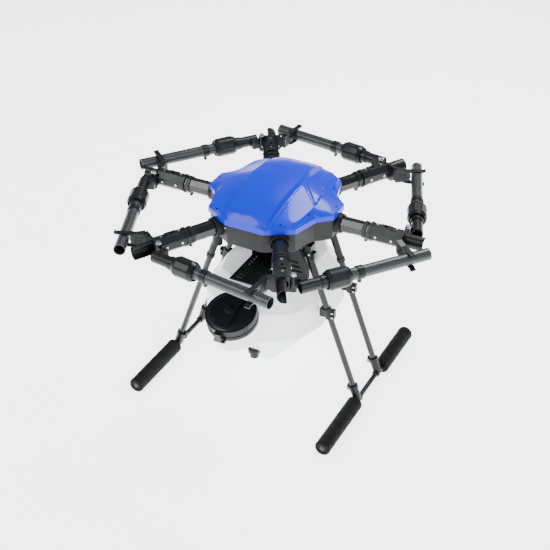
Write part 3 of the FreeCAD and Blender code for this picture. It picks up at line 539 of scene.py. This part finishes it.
def make_foam():
    """Four soft sleeves with round shoulders, dished ends and a slightly uneven skin."""
    outer, bore, shoulder = 0.02095, 0.0072, 0.0065
    number = 0
    for side in (-1, 1):
        for start, end in ((near * MM, far * MM) for near, far in FOAM_SPANS):
            number += 1
            length = end - start
            profile = [(0.0035, bore), (0.0012, bore + 0.003), (0.0, outer - shoulder)]
            for k in range(1, 7):
                angle = math.pi / 2 * k / 6
                profile.append((shoulder - shoulder * math.cos(angle),
                                outer - shoulder + shoulder * math.sin(angle)))
            body = 26
            for k in range(1, body):
                t = k / body
                wave = 0.00022 * (math.sin(37.0 * t + number) + math.sin(91.0 * t + 2 * number)) - 0.00044
                profile.append((shoulder + (length - 2 * shoulder) * t, outer + wave))
            for k in range(6, 0, -1):
                angle = math.pi / 2 * k / 6
                profile.append((length - shoulder + shoulder * math.cos(angle),
                                outer - shoulder + shoulder * math.sin(angle)))
            profile += [(length, outer - shoulder), (length - 0.0012, bore + 0.003), (length - 0.0035, bore)]
            origin = Vector((side * SKID_X * MM, start, SKID_Z * MM))
            sleeve = piece("foam_sleeve_%d" % number, [turned(origin, (0, 1, 0), profile, 48)], "foam_rubber",
                           smooth=60.0)
            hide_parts("foam_sleeves")


make_foam()


# ---- small parts on the airframe ----------------------------------------------
LID_TILT = math.radians(18.0)
LID_CENTRE = Vector((0, -0.246, 0.327))
LEG_SPLAY = 0.361
LEG_ROWS = (-70.0, 62.0)          # where the legs stand, fore and aft


def hub_details():
    """Teeth under the hub's nose edge, dark sheets in its wall painted as the shade inside its ports, and screws
    up the wall.
    """
    start, end = Vector((-108.0, -122.0, 463.0)), Vector((-46.0, -158.0, 463.0))
    teeth = []
    for k in range(12):
        foot = start.lerp(end, k / 11) * MM
        teeth.append(turned(foot, (0, 0, -1), [(0.0, 0.0026), (0.0035, 0.0026), (0.0046, 0.0016)], 10))
    piece("floor_teeth", teeth, "hub_plastic")
    wall = (Vector((-49.3, -167.6, 0)) - Vector((-118.0, -127.6, 0))).normalized()
    out = Vector((wall.y, -wall.x, 0))
    if out.y > 0:
        out = -out
    middle = Vector((-83.6, -147.6, 497.0))
    ports, bosses = [], []
    for shift, wide, tall, rise in ((-19.0, 7.0, 3.0, 6.0), (0.0, 12.0, 4.0, 1.0), (20.0, 6.0, 6.0, -3.0)):
        centre = middle + wall * shift + Vector((0, 0, rise))
        corners = []
        for a, b in ((-1, -1), (1, -1), (1, 1), (-1, 1)):
            corners.append((centre + wall * (a * wide / 2) + Vector((0, 0, b * tall / 2)) - out * 0.5) * MM)
        ports.append(slab(corners, out, 0.0009))
    for shift in (-32.0, 32.0):
        foot = (middle + wall * shift + Vector((0, 0, 12.0)) - out * 0.4) * MM
        bosses.append(screw(foot, out, 0.0028, 0.0016))
    # The ports are flat sheets in painted shade, not openings.
    piece("nose_ports", ports, "hub_plastic", material=PAINTED_SHADE_HOLE)
    piece("nose_screws", bosses, "bolt_steel")


def lid_details():
    """Grip ribs around the lid and a bead around its crown."""
    up = Vector((0, -math.sin(LID_TILT), math.cos(LID_TILT)))
    back = Vector((0, math.cos(LID_TILT), math.sin(LID_TILT)))
    centre = LID_CENTRE
    across = Vector((1, 0, 0))
    ribs = []
    for k in range(48):
        angle = 2 * math.pi * k / 48
        if math.cos(angle) > 0.86 or math.cos(angle) < -0.95:
            continue
        spoke = back * math.cos(angle) + across * math.sin(angle)
        foot = centre + spoke * 0.0652 - up * 0.018
        ribs.append(turned(foot, up, [(0.0, 0.0011), (0.0155, 0.0011), (0.0165, 0.0004)], 8))
    piece("lid_ribs", ribs, "lid_black", "lid")
    bead = []
    for k in range(2):
        radius = 0.058 - 0.010 * k
        rise = 0.0012 + 0.0030 * k
        profile = [(rise, radius), (rise + 0.0009, radius - 0.0007), (rise + 0.0009, radius - 0.0017),
                   (rise - 0.0012, radius - 0.0030)]
        bead.append(turned(centre, up, profile, 72))
    ring_points, ring_loops = [], []
    for points, loops in bead:
        base = len(ring_points)
        ring_points += points
        ring_loops += [[base + i for i in loop] for loop in loops if len(loop) == 4]
    piece("lid_beads", [(ring_points, ring_loops)], "lid_black", "lid", smooth=50.0)
    dome = [(0.0, 0.014), (0.0018, 0.014), (0.0027, 0.013), (0.0027, 0.0)]
    boss = turned(centre + up * 0.0085, up, dome, 40)
    piece("lid_boss", [boss], "lid_black", "lid", smooth=50.0)


def leg_point(side, y, z):
    """A point on a leg's axis, in millimetres."""
    return Vector((side * (SKID_X - LEG_SPLAY * (z - SKID_Z)), y, z))


def leg_bolts():
    """Bright bolt heads on the hub brackets, the mid clamps and the tees."""
    bolts = []
    for side in (-1, 1):
        for y in LEG_ROWS:
            for face, reach in ((-1, 13.0), (1, 13.0)):
                top = leg_point(side, y, 444.0)
                for shift, z in ((-11.0, 453.0), (11.0, 439.0)):
                    foot = Vector((top.x + shift, y + face * (reach - 0.3), z)) * MM
                    bolts.append(screw(foot, (0, face, 0), 0.0033, 0.0024))
            for z in (265.5, 278.5):
                middle = leg_point(side, y, 272.0)
                for face in (-1, 1):
                    foot = Vector((middle.x + side * 14.5, y + face * 9.8, z)) * MM
                    bolts.append(screw(foot, (0, face, 0), 0.0028, 0.0018))
            mouth = leg_point(side, y, 55.0)
            for face in (-1, 1):
                foot = Vector((mouth.x - side * 13.0, y + face * 4.8, 54.0)) * MM
                bolts.append(screw(foot, (0, face, 0), 0.0028, 0.0020))
    piece("leg_bolts", bolts, "bolt_steel")


hub_details()
lid_details()
leg_bolts()


# ---- floor, light and camera --------------------------------------------------
def studio():
    """Pale floor, even bright surroundings and three soft lights."""
    mesh = bpy.data.meshes.new("floor")
    reach = 14.0
    corners = [(-reach, -reach, 0), (reach, -reach, 0), (reach, reach, 0), (-reach, reach, 0)]
    mesh.from_pydata(corners, [], [[0, 1, 2, 3]])
    floor = bpy.data.objects.new("floor", mesh)
    floor.location = (0, 0, min(cad_low.z, 0.0) - 0.0002)
    bpy.context.scene.collection.objects.link(floor)
    paint(floor, surface("floor white", (0.93, 0.93, 0.93), 0.9, vary=0.01, clouds=1.5, grain=40.0, edge=0.0,
                         Emission_Color=(1.0, 1.0, 1.0, 1.0), Emission_Strength=3.2))
    floor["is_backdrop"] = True
    world = bpy.data.worlds.new("studio")
    world.use_nodes = True
    world.node_tree.nodes["Background"].inputs["Color"].default_value = (1.0, 1.0, 1.0, 1)
    world.node_tree.nodes["Background"].inputs["Strength"].default_value = 0.3
    bpy.context.scene.world = world
    aim = Vector((0.05, -0.05, 0.45))
    for name, place, size, energy in (("panel glow", (0.30, 1.50, 2.55), 1.1, 75.0),
                                      ("key", (-2.4, -3.2, 4.2), 2.4, 190.0),
                                      ("fill", (3.4, -1.8, 3.0), 2.0, 100.0)):
        light = bpy.data.lights.new(name, "AREA")
        light.shape = "SQUARE"
        light.size = size
        light.energy = energy
        holder = bpy.data.objects.new(name, light)
        holder.location = place
        holder.rotation_mode = "QUATERNION"
        holder.rotation_quaternion = (aim - Vector(place)).to_track_quat("-Z", "Y")
        bpy.context.scene.collection.objects.link(holder)


def camera():
    """Camera above the nose and to the right, a long lens from three metres away."""
    azimuth, elevation, roll = (math.radians(v) for v in (27.5465, 33.797, -0.338))
    back = Vector((math.sin(azimuth) * math.cos(elevation), -math.cos(azimuth) * math.cos(elevation),
                   math.sin(elevation)))
    right = Vector((math.cos(azimuth), math.sin(azimuth), 0))
    up = back.cross(right)
    right, up = (right * math.cos(roll) + up * math.sin(roll), up * math.cos(roll) - right * math.sin(roll))
    data = bpy.data.cameras.new("camera")
    data.sensor_width = 36.0
    data.lens = 79.73
    data.clip_end = 60.0
    holder = bpy.data.objects.new("camera", data)
    turn = Matrix((right, up, back)).transposed()
    holder.matrix_world = Matrix.Translation((1.23293, -2.37169, 2.07826)) @ turn.to_4x4()
    bpy.context.scene.collection.objects.link(holder)
    bpy.context.scene.camera = holder


studio()
camera()

bpy.context.view_layer.update()
low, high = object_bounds()
